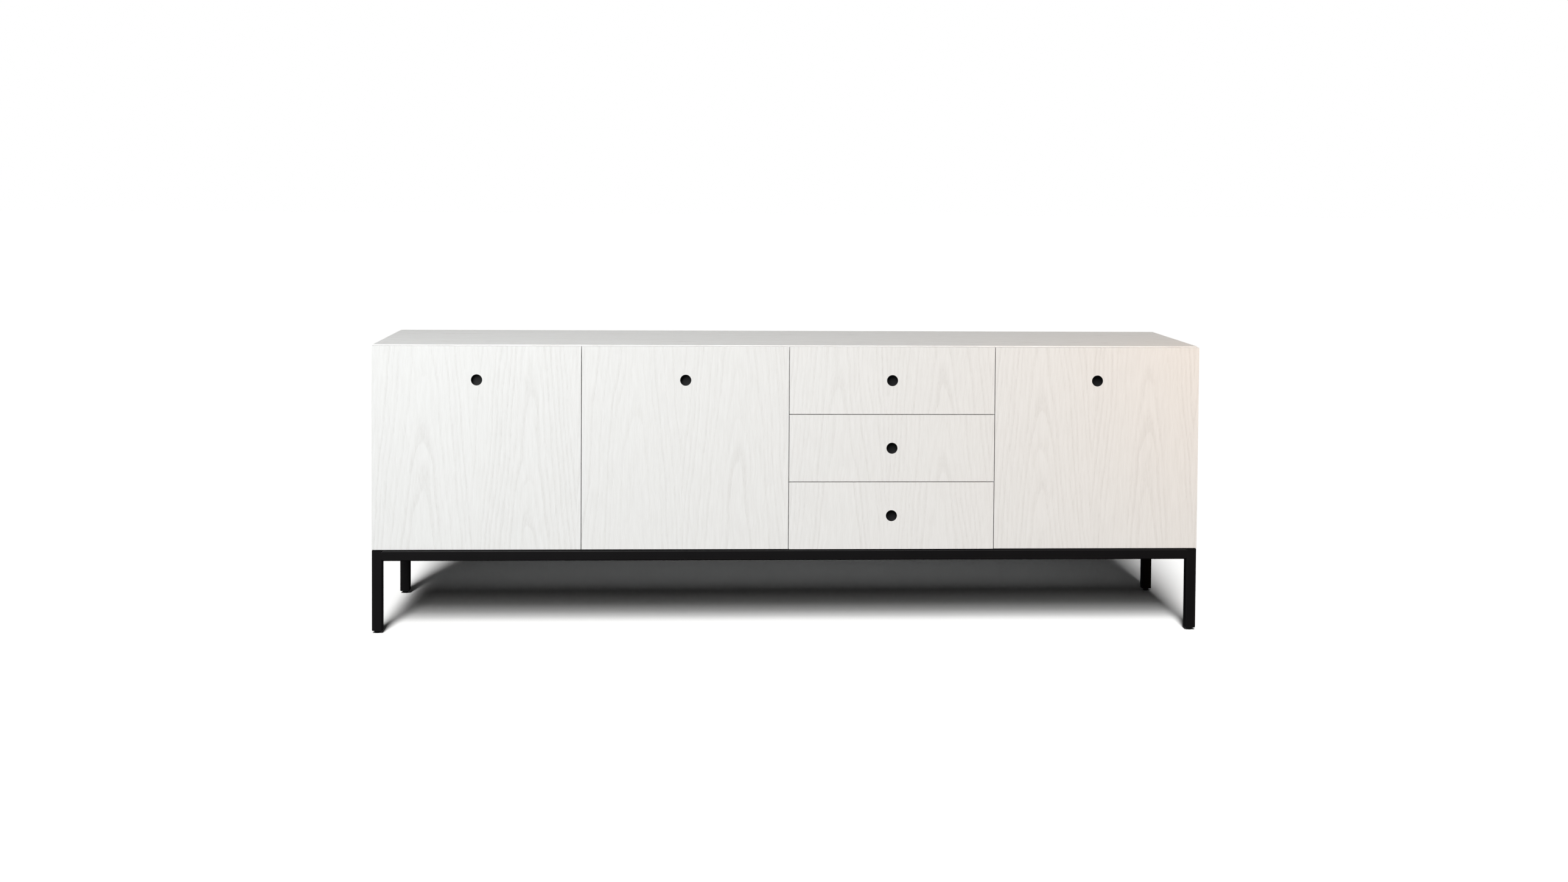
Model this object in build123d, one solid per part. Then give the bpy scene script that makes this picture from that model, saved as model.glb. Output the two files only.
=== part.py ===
from build123d import *
import os
from math import atan2, cos, degrees, hypot, radians, sin

# Low sideboard on a steel frame. Millimetres, +Z up, front towards -Y.
# The origin lies on the floor, under the centre of the whole object.

# ---- driving dimensions -------------------------------------------------
WIDTH = 2000.0
DEPTH = 480.0
HEIGHT = 695.0
BASE_HEIGHT = 200.0          # floor to the underside of the cabinet
BOARD = 18.0                 # carcass boards, shelves and fronts
BACK_BOARD = 10.0
BACK_RECESS = 3.0            # back board sits this far inside the rear edges
MODULES = 4                  # equal bays: flap, flap, drawers, flap
FRONT_GAP = 2.0              # between neighbouring fronts
TOP_REVEAL = 2.0             # fronts stop this far below the top surface
BOTTOM_REVEAL = 2.0          # and this far above the steel frame
SHUT_GAP = 2.0               # between a closed front and the carcass

TUBE = 25.0                  # square steel tube of the base
TUBE_WALL = 1.5
TUBE_CORNER = 3.0            # outside radius along the edges of the tube
GLIDE_HEIGHT = 8.0
GLIDE_RADIUS = 7.0
CROSS_BAR_X = 330.0

HOLE_RADIUS = 13.5           # finger hole in each front
CUP_WALL = 1.0
CUP_CHAMBER_RADIUS = 14.3    # undercut behind the front skin, for the fingertips
FRONT_SKIN = 2.5             # wood left around the neck of the cup
CUP_FLOOR = 1.5

DRAWERS = 3
RUNNER = 12.7                # room for a ball runner on each side of a drawer
RUNNER_LENGTH = 390.0
DRAWER_SIDE = 12.0
DRAWER_DEPTH = 410.0
DRAWER_BOX_HEIGHT = 110.0
DRAWER_BOX_LIFT = 22.0       # underside of the box above the lower edge of its front
DRAWER_FLOOR = 6.0
GROOVE = 5.0

SHELF_Z = 445.0              # underside of the loose shelves
SHELF_PIN_RADIUS = 2.5

PIVOT_FROM_FACE = 6.0        # flap pivot behind the outer face
PIVOT_FROM_EDGE = 9.0        # and above the lower edge of the flap
EYE_RADIUS = 3.2
HINGE_PIN_RADIUS = 1.5
RUNNING_CLEARANCE = 0.05
HINGE_INSET = 70.0           # hinge centre from the side of its bay

STAY_FROM_PIVOT_Y = 20.0     # rod joint on the flap, from the flap pivot
STAY_FROM_PIVOT_Z = 199.0
STAY_ANGLE = 40.0            # angle at the flap pivot between rod joint and swivel
STAY_INSET = 14.0            # rod centre from the side of the bay
ROD_RADIUS = 3.0
STAY_PIN_RADIUS = 2.5

# ---- derived positions --------------------------------------------------
FRONT_Y = -DEPTH / 2
REAR_Y = DEPTH / 2
FRONT_BACK_Y = FRONT_Y + BOARD
CARCASS_Y = FRONT_BACK_Y + SHUT_GAP
BACK_BOARD_Y = REAR_Y - BACK_RECESS - BACK_BOARD
HALF = WIDTH / 2
FLOOR_Z = BASE_HEIGHT + BOARD
CEILING_Z = HEIGHT - BOARD
MODULE = WIDTH / MODULES
FRONT_Z0 = BASE_HEIGHT + BOTTOM_REVEAL
FRONT_Z1 = HEIGHT - TOP_REVEAL
DRAWER_FRONT = (FRONT_Z1 - FRONT_Z0 - (DRAWERS - 1) * FRONT_GAP) / DRAWERS
FLAP_HOLE_Z = FRONT_Z1 - DRAWER_FRONT / 2    # level with the hole of the top drawer
DIVIDERS = [-MODULE, 0.0, MODULE]
TUBE_INSIDE = TUBE - 2 * TUBE_WALL
FLAP_BAYS = [1, 2, 4]
DRAWER_BAY = 3
PIVOT_Y = FRONT_Y + PIVOT_FROM_FACE
PIVOT_Z = FRONT_Z0 + PIVOT_FROM_EDGE

STAY_RADIUS = hypot(STAY_FROM_PIVOT_Y, STAY_FROM_PIVOT_Z)
SWIVEL_BEARING = degrees(atan2(STAY_FROM_PIVOT_Z, STAY_FROM_PIVOT_Y)) - STAY_ANGLE
ROD_JOINT_Y = PIVOT_Y + STAY_FROM_PIVOT_Y
ROD_JOINT_Z = PIVOT_Z + STAY_FROM_PIVOT_Z
SWIVEL_Y = PIVOT_Y + STAY_RADIUS * cos(radians(SWIVEL_BEARING))
SWIVEL_Z = PIVOT_Z + STAY_RADIUS * sin(radians(SWIVEL_BEARING))
ROD_ANGLE = degrees(atan2(SWIVEL_Z - ROD_JOINT_Z, SWIVEL_Y - ROD_JOINT_Y))
ROD_OPEN = 2 * STAY_RADIUS * sin(radians((STAY_ANGLE + 90) / 2))


# ---- helpers ------------------------------------------------------------
def block(x0, x1, y0, y1, z0, z1):
    """A block between two corners."""
    centre = Pos((x0 + x1) / 2, (y0 + y1) / 2, (z0 + z1) / 2)
    return centre * Box(x1 - x0, y1 - y0, z1 - z0)


def along_x(x0, x1, y, z, radius):
    return Pos((x0 + x1) / 2, y, z) * Rot(0, 90, 0) * Cylinder(radius, abs(x1 - x0))


def along_y(x, y0, y1, z, radius):
    return Pos(x, (y0 + y1) / 2, z) * Rot(90, 0, 0) * Cylinder(radius, abs(y1 - y0))


def along_z(x, y, z0, z1, radius):
    return Pos(x, y, (z0 + z1) / 2) * Cylinder(radius, abs(z1 - z0))


def along_rod(x, start, end, radius):
    """A cylinder on the line of a stay rod, between two distances from its flap joint."""
    turn = Pos(x, ROD_JOINT_Y, ROD_JOINT_Z) * Rot(ROD_ANGLE - 90, 0, 0)
    return turn * Pos(0, 0, (start + end) / 2) * Cylinder(radius, end - start)


def profile_x(x0, x1, outline):
    """A (y, z) outline extruded from x0 to x1."""
    face = Plane.YZ.offset(x0) * Polygon(*outline, align=None)
    return extrude(face, amount=x1 - x0, dir=(1, 0, 0))


def profile_y(y0, y1, outline):
    """An (x, z) outline extruded from y0 to y1."""
    face = Plane.XZ.offset(-y0) * Polygon(*outline, align=None)
    return extrude(face, amount=y1 - y0, dir=(0, 1, 0))


def save(name, pieces):
    """Write one node, its pieces as separate solids."""
    solids = [solid for piece in pieces for solid in piece.solids()]
    shape = solids[0] if len(solids) == 1 else Compound(children=solids)
    export_step(shape, f"parts/{name}.step")


def bay(number):
    """Clear width of a bay between the boards at its sides."""
    edges = [-HALF + BOARD] + DIVIDERS + [HALF - BOARD]
    low = edges[number - 1] + (0 if number == 1 else BOARD / 2)
    high = edges[number] - (0 if number == MODULES else BOARD / 2)
    return low, high


def front_span(number):
    """Width of the front that covers a bay, less half a gap at each inner side."""
    low = -HALF + (number - 1) * MODULE + (0 if number == 1 else FRONT_GAP / 2)
    high = -HALF + number * MODULE - (0 if number == MODULES else FRONT_GAP / 2)
    return low, high


# ---- finger cups --------------------------------------------------------
def cup_pocket(x, z):
    """Stepped hole in a front: neck through the skin, chamber behind it."""
    neck = along_y(x, FRONT_Y, FRONT_Y + FRONT_SKIN, z, HOLE_RADIUS)
    chamber = along_y(x, FRONT_Y + FRONT_SKIN, FRONT_BACK_Y, z, CUP_CHAMBER_RADIUS + CUP_WALL)
    return neck + chamber


def finger_cup(x, z):
    """Blind moulded cup, undercut behind the front skin."""
    mouth = along_y(x, FRONT_Y, FRONT_Y + FRONT_SKIN + CUP_WALL, z, HOLE_RADIUS - CUP_WALL)
    chamber = along_y(x, FRONT_Y + FRONT_SKIN + CUP_WALL, FRONT_BACK_Y - CUP_FLOOR, z, CUP_CHAMBER_RADIUS)
    return cup_pocket(x, z) - mouth - chamber


# ---- fasteners ----------------------------------------------------------
def screw_y(x, y, z, length, radius=1.75):
    """Pan-head screw whose shank runs from y by a signed length."""
    step = 1 if length > 0 else -1
    head = along_y(x, y - step * 1.8, y, z, 2 * radius)
    return head + along_y(x, y, y + length, z, radius)


def screw_x(x, y, z, length, radius=1.75):
    step = 1 if length > 0 else -1
    head = along_x(x - step * 1.8, x, y, z, 2 * radius)
    return head + along_x(x, x + length, y, z, radius)


def screw_z(x, y, z, length, radius=1.75, head_height=1.8):
    step = 1 if length > 0 else -1
    head = along_z(x, y, z - step * head_height, z, 2 * radius)
    return head + along_z(x, y, z, z + length, radius)


# ---- carcass ------------------------------------------------------------
DOWEL_RADIUS = 4.0
DOWEL_IN_BOARD = 10.0
DOWEL_IN_DIVIDER = 20.0
DOWEL_Y = [-150.0, 0.0, 150.0]
PIN_Y = [-150.0, 170.0]
PIN_IN_BOARD = 8.0
SCREW_INTO_BOARD = 12.0


def dowels():
    pieces = []
    for x in DIVIDERS:
        for y in DOWEL_Y:
            low = FLOOR_Z - DOWEL_IN_BOARD
            pieces.append(along_z(x, y, low, FLOOR_Z + DOWEL_IN_DIVIDER, DOWEL_RADIUS))
            high = CEILING_Z + DOWEL_IN_BOARD
            pieces.append(along_z(x, y, CEILING_Z - DOWEL_IN_DIVIDER, high, DOWEL_RADIUS))
    return pieces


def mitre_tongues():
    """Loose tongues across the four mitred corners."""
    pieces = []
    inset = BOARD / 2 + 2
    for sx in (-1, 1):
        for z, sz in ((BASE_HEIGHT + inset, -1), (HEIGHT - inset, 1)):
            turn = 45 * sx * sz
            pieces.append(Pos(sx * (HALF - inset), 0, z) * Rot(0, turn, 0) * Box(12, 220, 4))
    return pieces


def shelf_pins():
    pieces = []
    for number in FLAP_BAYS:
        low, high = bay(number)
        for y in PIN_Y:
            z = SHELF_Z - SHELF_PIN_RADIUS
            pieces.append(along_x(low - PIN_IN_BOARD, low + PIN_IN_BOARD, y, z, SHELF_PIN_RADIUS))
            pieces.append(along_x(high - PIN_IN_BOARD, high + PIN_IN_BOARD, y, z, SHELF_PIN_RADIUS))
    return pieces


def base_screws():
    """Screws up through the short rails into the cabinet bottom."""
    pieces = []
    for x in short_rail_places():
        for y in (-140.0, 140.0):
            pieces.append(screw_z(x, y, BASE_HEIGHT - TUBE, TUBE + SCREW_INTO_BOARD, 3.0, 3.0))
    return pieces


def back_screws():
    """Screws through the back board into the dividers."""
    pieces = []
    for x in DIVIDERS:
        for z in (260.0, HEIGHT / 2 + 90, 635.0):
            pieces.append(screw_y(x, BACK_BOARD_Y + BACK_BOARD, z, -32.0))
    return pieces


def carcass_boards():
    low, high = BASE_HEIGHT, HEIGHT
    top = profile_y(CARCASS_Y, REAR_Y, [(-HALF, high), (HALF, high), (HALF - BOARD, CEILING_Z),
                                        (-HALF + BOARD, CEILING_Z)])
    bottom = profile_y(CARCASS_Y, REAR_Y, [(-HALF, low), (HALF, low), (HALF - BOARD, FLOOR_Z),
                                           (-HALF + BOARD, FLOOR_Z)])
    left = profile_y(CARCASS_Y, REAR_Y, [(-HALF, low), (-HALF, high), (-HALF + BOARD, CEILING_Z),
                                         (-HALF + BOARD, FLOOR_Z)])
    right = profile_y(CARCASS_Y, REAR_Y, [(HALF, low), (HALF, high), (HALF - BOARD, CEILING_Z),
                                          (HALF - BOARD, FLOOR_Z)])
    boards = {"top_panel": top, "bottom_panel": bottom, "left_side": left, "right_side": right}
    names = ["left_divider", "centre_divider", "right_divider"]
    for name, x in zip(names, DIVIDERS):
        boards[name] = block(x - BOARD / 2, x + BOARD / 2, CARCASS_Y, BACK_BOARD_Y, FLOOR_Z, CEILING_Z)
    boards["back_panel"] = block(-HALF + BOARD, HALF - BOARD, BACK_BOARD_Y, BACK_BOARD_Y + BACK_BOARD,
                                 FLOOR_Z, CEILING_Z)
    return boards


def bored(board, tools):
    """A board less the pieces that are set into it."""
    box = board.bounding_box()
    near = [tool for tool in tools if touches(box, tool.bounding_box())]
    return board - near if near else board


def touches(a, b):
    return all(
        a_low < b_high and b_low < a_high
        for a_low, a_high, b_low, b_high in (
            (a.min.X, a.max.X, b.min.X, b.max.X),
            (a.min.Y, a.max.Y, b.min.Y, b.max.Y),
            (a.min.Z, a.max.Z, b.min.Z, b.max.Z),
        )
    )


def shelves():
    pieces = []
    for number in FLAP_BAYS:
        low, high = bay(number)
        pieces.append(block(low + 1, high - 1, CARCASS_Y + 15, BACK_BOARD_Y - 5, SHELF_Z, SHELF_Z + BOARD))
    return pieces


# ---- steel base ---------------------------------------------------------
def short_rail_places():
    outer = HALF - TUBE / 2
    return [-outer, -CROSS_BAR_X, CROSS_BAR_X, outer]


def tube_section(size, corner):
    return RectangleRounded(size, size, corner)


def tube(length):
    """Square tube with rounded edges, along Z and centred on the origin."""
    section = tube_section(TUBE, TUBE_CORNER) - tube_section(TUBE_INSIDE, TUBE_CORNER - TUBE_WALL)
    return extrude(section, amount=length / 2, both=True)


def leg_places():
    return [(sx * (HALF - TUBE / 2), sy * (REAR_Y - TUBE / 2)) for sx in (-1, 1) for sy in (-1, 1)]


def tube_legs():
    leg = Pos(0, 0, (GLIDE_HEIGHT + BASE_HEIGHT) / 2) * tube(BASE_HEIGHT - GLIDE_HEIGHT)
    return [Pos(x, y, 0) * leg for x, y in leg_places()]


def long_rails():
    """Front and rear rails, butted between the legs."""
    rail = Pos(0, 0, BASE_HEIGHT - TUBE / 2) * Rot(0, 90, 0) * tube(WIDTH - 2 * TUBE)
    return [Pos(0, sy * (REAR_Y - TUBE / 2), 0) * rail for sy in (-1, 1)]


def short_rails():
    """End rails and cross bars, from front to rear."""
    rail = Pos(0, 0, BASE_HEIGHT - TUBE / 2) * Rot(90, 0, 0) * tube(DEPTH - 2 * TUBE)
    return [Pos(x, 0, 0) * rail for x in short_rail_places()]


def foot_glides():
    """Moulded plugs in the open ends of the legs, each with a round foot."""
    foot = along_z(0, 0, 0, GLIDE_HEIGHT - 1.5, GLIDE_RADIUS)
    foot = chamfer(foot.edges().group_by(Axis.Z)[0], 1.0)
    flange = extrude(tube_section(TUBE - 1, TUBE_CORNER), amount=1.5)
    plug = extrude(tube_section(TUBE_INSIDE, TUBE_CORNER - TUBE_WALL), amount=18)
    glide = foot + Pos(0, 0, GLIDE_HEIGHT - 1.5) * flange + Pos(0, 0, GLIDE_HEIGHT) * plug
    return [Pos(x, y, 0) * glide for x, y in leg_places()]


# ---- flaps --------------------------------------------------------------
HINGE_HALF = 8.0             # half the width of the hinge body in the flap
ARM_HALF = 2.0               # half the thickness of the fixed hinge arm
LEAF = 1.8                   # plates on the back of a flap, inside the shut gap
ROD_STOP_START = 371.5
ROD_STOP = 6.0
LUG = 3.0
EYE_HALF = 2.0
STAY_EYE_RADIUS = 5.5
FRONT_TOE = 1.0              # radius that lets a flap turn just above the steel frame
FRONT_HEEL = 6.0             # radius that lets it turn in front of the cabinet bottom


def hinge_places(number):
    low, high = bay(number)
    return [low + HINGE_INSET, high - HINGE_INSET]


def stay_places(number):
    """Side of the bay and the inward direction, for each of the two stays."""
    low, high = bay(number)
    return [(low, 1), (high, -1)]


def hinge_arm(x):
    """Fixed arm: an eye in front of the cabinet bottom, and a plate on its floor."""
    eye = along_x(x - ARM_HALF, x + ARM_HALF, PIVOT_Y, PIVOT_Z, EYE_RADIUS)
    low, high = PIVOT_Z - EYE_RADIUS, PIVOT_Z + EYE_RADIUS
    step = CARCASS_Y + 3
    neck = block(x - ARM_HALF, x + ARM_HALF, PIVOT_Y, step + 1, low, high)
    root = block(x - ARM_HALF, x + ARM_HALF, step, CARCASS_Y + 25, low, FLOOR_Z + 2)
    plate = block(x - 9, x + 9, step, CARCASS_Y + 43, FLOOR_Z, FLOOR_Z + 2)
    bore = along_x(x - ARM_HALF, x + ARM_HALF, PIVOT_Y, PIVOT_Z, HINGE_PIN_RADIUS + RUNNING_CLEARANCE)
    return eye + neck + root + plate - bore


def hinge_arm_slot(x):
    low = PIVOT_Z - EYE_RADIUS - 0.8
    return block(x - ARM_HALF - 0.3, x + ARM_HALF + 0.3, CARCASS_Y, CARCASS_Y + 26, low, FLOOR_Z)


def hinge_arm_screws():
    pieces = []
    for number in FLAP_BAYS:
        for x in hinge_places(number):
            for side in (-5.5, 5.5):
                pieces.append(screw_z(x + side, CARCASS_Y + 36, FLOOR_Z + 2, -13.0))
    return pieces


def hinge_leaf(x):
    """Body let into the flap, forked around the arm, with a plate up the back face."""
    low, high = PIVOT_Z - 6, PIVOT_Z + 6
    front, back = PIVOT_Y - 3.8, FRONT_BACK_Y
    body = profile_x(x - HINGE_HALF, x + HINGE_HALF,
                     [(front, low), (back - 3, low), (back, low + 3), (back, high), (front, high)])
    slot = block(x - ARM_HALF - 0.3, x + ARM_HALF + 0.3, front, back, low, PIVOT_Z + EYE_RADIUS + 0.4)
    plate = block(x - HINGE_HALF - 1, x + HINGE_HALF + 1, back, back + LEAF, high - 2, high + 28)
    bore = along_x(x - HINGE_HALF, x + HINGE_HALF, PIVOT_Y, PIVOT_Z, HINGE_PIN_RADIUS)
    return body + plate - slot - bore


def hinge_leaf_pocket(x):
    return block(x - HINGE_HALF, x + HINGE_HALF, PIVOT_Y - 3.8, FRONT_BACK_Y, FRONT_Z0, PIVOT_Z + 6)


def flap_hinge_pieces(number):
    """Both leaves of a flap with their pins and screws."""
    pieces = []
    for x in hinge_places(number):
        screws = [screw_y(x, FRONT_BACK_Y + LEAF, PIVOT_Z + dz, -LEAF - 11) for dz in (14.0, 26.0)]
        pieces.append(hinge_leaf(x) - screws)
        pieces.append(along_x(x - HINGE_HALF, x + HINGE_HALF, PIVOT_Y, PIVOT_Z, HINGE_PIN_RADIUS))
        pieces.extend(screws)
    return pieces


def stay_bracket(side, inward):
    """Plate on the back of the flap with a lug and the pin that carries the rod."""
    plate = block(*sorted((side + inward * 4, side + inward * 22)), FRONT_BACK_Y, FRONT_BACK_Y + LEAF,
                  ROD_JOINT_Z - 17, ROD_JOINT_Z + 17)
    lug_start = side + inward * (STAY_INSET - EYE_HALF - 1.4 - LUG)
    lug_end = side + inward * (STAY_INSET - EYE_HALF - 1.4)
    low, high = sorted((lug_start, lug_end))
    lug = block(low, high, FRONT_BACK_Y, ROD_JOINT_Y, ROD_JOINT_Z - 6, ROD_JOINT_Z + 6)
    nose = along_x(low, high, ROD_JOINT_Y, ROD_JOINT_Z, 6)
    pin_end = side + inward * (STAY_INSET + EYE_HALF + 1.8)
    head_start = side + inward * (STAY_INSET + EYE_HALF + 0.3)
    pin = along_x(lug_end, pin_end, ROD_JOINT_Y, ROD_JOINT_Z, STAY_PIN_RADIUS)
    head = along_x(head_start, pin_end, ROD_JOINT_Y, ROD_JOINT_Z, 4)
    return plate + lug + nose + pin + head


def stay_bracket_screws(side, inward):
    x = side + inward * 18.5
    return [screw_y(x, FRONT_BACK_Y + LEAF, ROD_JOINT_Z + dz, -LEAF - 11) for dz in (-13.0, 13.0)]


def stay_rod(side, inward):
    """Round rod with an eye at the flap and a stop at its tail."""
    x = side + inward * STAY_INSET
    eye = along_x(x - EYE_HALF, x + EYE_HALF, ROD_JOINT_Y, ROD_JOINT_Z, STAY_EYE_RADIUS)
    shank = along_rod(x, 4.6, ROD_STOP_START + ROD_STOP, ROD_RADIUS)
    stop = along_rod(x, ROD_STOP_START, ROD_STOP_START + ROD_STOP, 5)
    bore = along_x(x - ROD_RADIUS - 1, x + ROD_RADIUS + 1, ROD_JOINT_Y, ROD_JOINT_Z,
                   STAY_PIN_RADIUS + RUNNING_CLEARANCE)
    return eye + shank + stop - bore


def stay_swivel(side, inward):
    """Block that turns on the cabinet stud while the rod slides through it."""
    x = side + inward * 13.0
    body = Pos(x, SWIVEL_Y, SWIVEL_Z) * Rot(ROD_ANGLE, 0, 0) * Box(12, 16, 14)
    body = fillet(body.edges().filter_by(Axis.X), 4)
    reach = 2 * STAY_RADIUS * sin(radians(STAY_ANGLE / 2))
    rod_bore = along_rod(side + inward * STAY_INSET, reach - 9, reach + 9, ROD_RADIUS + 0.3)
    stud_bore = along_x(side + inward * 7, side + inward * 9.8, SWIVEL_Y, SWIVEL_Z,
                        STAY_PIN_RADIUS + RUNNING_CLEARANCE)
    return body - rod_bore - stud_bore


def stay_stud(side, inward):
    """Plate on the side of the bay with the stud that carries the swivel."""
    plate = block(*sorted((side, side + inward * 2)), SWIVEL_Y - 14, SWIVEL_Y + 14,
                  SWIVEL_Z - 14, SWIVEL_Z + 14)
    plate = fillet(plate.edges().filter_by(Axis.X), 4)
    shoulder = along_x(side + inward * 2, side + inward * 6.5, SWIVEL_Y, SWIVEL_Z, 4.5)
    stud = along_x(side + inward * 2, side + inward * 9.5, SWIVEL_Y, SWIVEL_Z, STAY_PIN_RADIUS)
    return plate + shoulder + stud


def stay_stud_screws():
    pieces = []
    for number in FLAP_BAYS:
        for side, inward in stay_places(number):
            for dz in (-10.0, 10.0):
                # the two screws stand on a diagonal, so that the ones of two bays never meet
                dy = dz * inward
                x = side + inward * 2
                pieces.append(screw_x(x, SWIVEL_Y + dy, SWIVEL_Z + dz, -inward * 8.5))
    return pieces


def strike_plate(number):
    low, high = bay(number)
    x = (low + high) / 2
    return block(x - 16, x + 16, FRONT_BACK_Y, FRONT_BACK_Y + 1.4, CEILING_Z - 12, CEILING_Z - 1)


def magnet_catch(number):
    low, high = bay(number)
    x = (low + high) / 2
    body = block(x - 20, x + 20, CARCASS_Y + 0.6, CARCASS_Y + 15, CEILING_Z - 12, CEILING_Z)
    return fillet(body.edges().filter_by(Axis.Z), 2)


def lower_edge(panel, which):
    """The front (0) or rear (-1) lower edge of a panel."""
    return panel.edges().filter_by(Axis.X).group_by(Axis.Z)[0].sort_by(Axis.Y)[which]


def flap_panel(number, tools):
    low, high = front_span(number)
    panel = block(low, high, FRONT_Y, FRONT_BACK_Y, FRONT_Z0, FRONT_Z1)
    panel = fillet(lower_edge(panel, 0), FRONT_TOE)
    panel = fillet(lower_edge(panel, -1), FRONT_HEEL)
    pockets = [hinge_leaf_pocket(x) for x in hinge_places(number)]
    return panel - pockets - cup_pocket((low + high) / 2, FLAP_HOLE_Z) - tools


# ---- drawers ------------------------------------------------------------
def drawer_front_span(index):
    """Height of drawer front index, counted from the top."""
    high = FRONT_Z1 - (index - 1) * (DRAWER_FRONT + FRONT_GAP)
    return high - DRAWER_FRONT, high


def drawer_space(index):
    """Outer width and height of a drawer box."""
    low, high = bay(DRAWER_BAY)
    z0 = drawer_front_span(index)[0] + DRAWER_BOX_LIFT
    return low + RUNNER, high - RUNNER, z0, z0 + DRAWER_BOX_HEIGHT


def drawer_bottom(index):
    x0, x1, z0, _ = drawer_space(index)
    inset = DRAWER_SIDE - GROOVE
    return block(x0 + inset, x1 - inset, FRONT_BACK_Y + inset, FRONT_BACK_Y + DRAWER_DEPTH - inset,
                 z0 + 10, z0 + 10 + DRAWER_FLOOR)


def drawer_box(index):
    """Two sides, inner front and back, grooved for the bottom."""
    x0, x1, z0, z1 = drawer_space(index)
    y0, y1 = FRONT_BACK_Y, FRONT_BACK_Y + DRAWER_DEPTH
    boards = [
        block(x0, x0 + DRAWER_SIDE, y0, y1, z0, z1),
        block(x1 - DRAWER_SIDE, x1, y0, y1, z0, z1),
        block(x0 + DRAWER_SIDE, x1 - DRAWER_SIDE, y0, y0 + DRAWER_SIDE, z0, z1),
        block(x0 + DRAWER_SIDE, x1 - DRAWER_SIDE, y1 - DRAWER_SIDE, y1, z0, z1),
    ]
    floor = drawer_bottom(index)
    return [board - floor for board in boards]


def drawer_front_screws(index):
    x0, x1, z0, z1 = drawer_space(index)
    pieces = []
    for x in (x0 + 60, x1 - 60):
        for z in (z0 + 30, z1 - 20):
            pieces.append(screw_y(x, FRONT_BACK_Y + DRAWER_SIDE, z, -DRAWER_SIDE - 13))
    return pieces


def runner_channel(side, inward, index, web, lip, half_height, length):
    """One rolled channel of a ball runner; web and lip are distances from the bay's side."""
    _, _, z0, _ = drawer_space(index)
    z = z0 + DRAWER_BOX_HEIGHT / 2
    sheet = 1.2 if lip > web else -1.2
    xs = [side + inward * web, side + inward * (web + sheet), side + inward * lip]
    y0, y1 = CARCASS_Y + 2, CARCASS_Y + 2 + length
    flange = 1.2
    plate = block(*sorted(xs[:2]), y0, y1, z - half_height, z + half_height)
    flanges = [block(*sorted((xs[0], xs[2])), y0, y1, z + low, z + low + flange)
               for low in (-half_height, half_height - flange)]
    return plate + flanges


def cabinet_runners():
    low, high = bay(DRAWER_BAY)
    return [runner_channel(side, inward, index, 0.0, 9.6, 22.5, RUNNER_LENGTH + 10)
            for index in range(1, DRAWERS + 1) for side, inward in ((low, 1), (high, -1))]


def middle_runners(index):
    low, high = bay(DRAWER_BAY)
    return [runner_channel(side, inward, index, 3.6, 11.0, 18.4, RUNNER_LENGTH)
            for side, inward in ((low, 1), (high, -1))]


def drawer_runners(index):
    low, high = bay(DRAWER_BAY)
    return [runner_channel(side, inward, index, RUNNER, 6.6, 14.2, RUNNER_LENGTH)
            for side, inward in ((low, 1), (high, -1))]


def runner_screws():
    """Screws through the cabinet runners into the boards beside the drawers."""
    low, high = bay(DRAWER_BAY)
    pieces = []
    for index in range(1, DRAWERS + 1):
        _, _, z0, _ = drawer_space(index)
        z = z0 + DRAWER_BOX_HEIGHT / 2
        for side, inward in ((low, 1), (high, -1)):
            for y in (CARCASS_Y + 37, CARCASS_Y + 230):
                pieces.append(screw_x(side + inward * 1.2, y, z, -inward * 12.0))
    return pieces


def bumpers():
    """Soft dots on the front edges of the carcass that the closed fronts meet."""
    pieces = []
    for x in [-HALF + BOARD / 2] + DIVIDERS + [HALF - BOARD / 2]:
        for z in (CEILING_Z - 30, FLOOR_Z + 60):
            pieces.append(along_y(x, CARCASS_Y - SHUT_GAP + 0.3, CARCASS_Y, z, 4))
    return pieces


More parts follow.
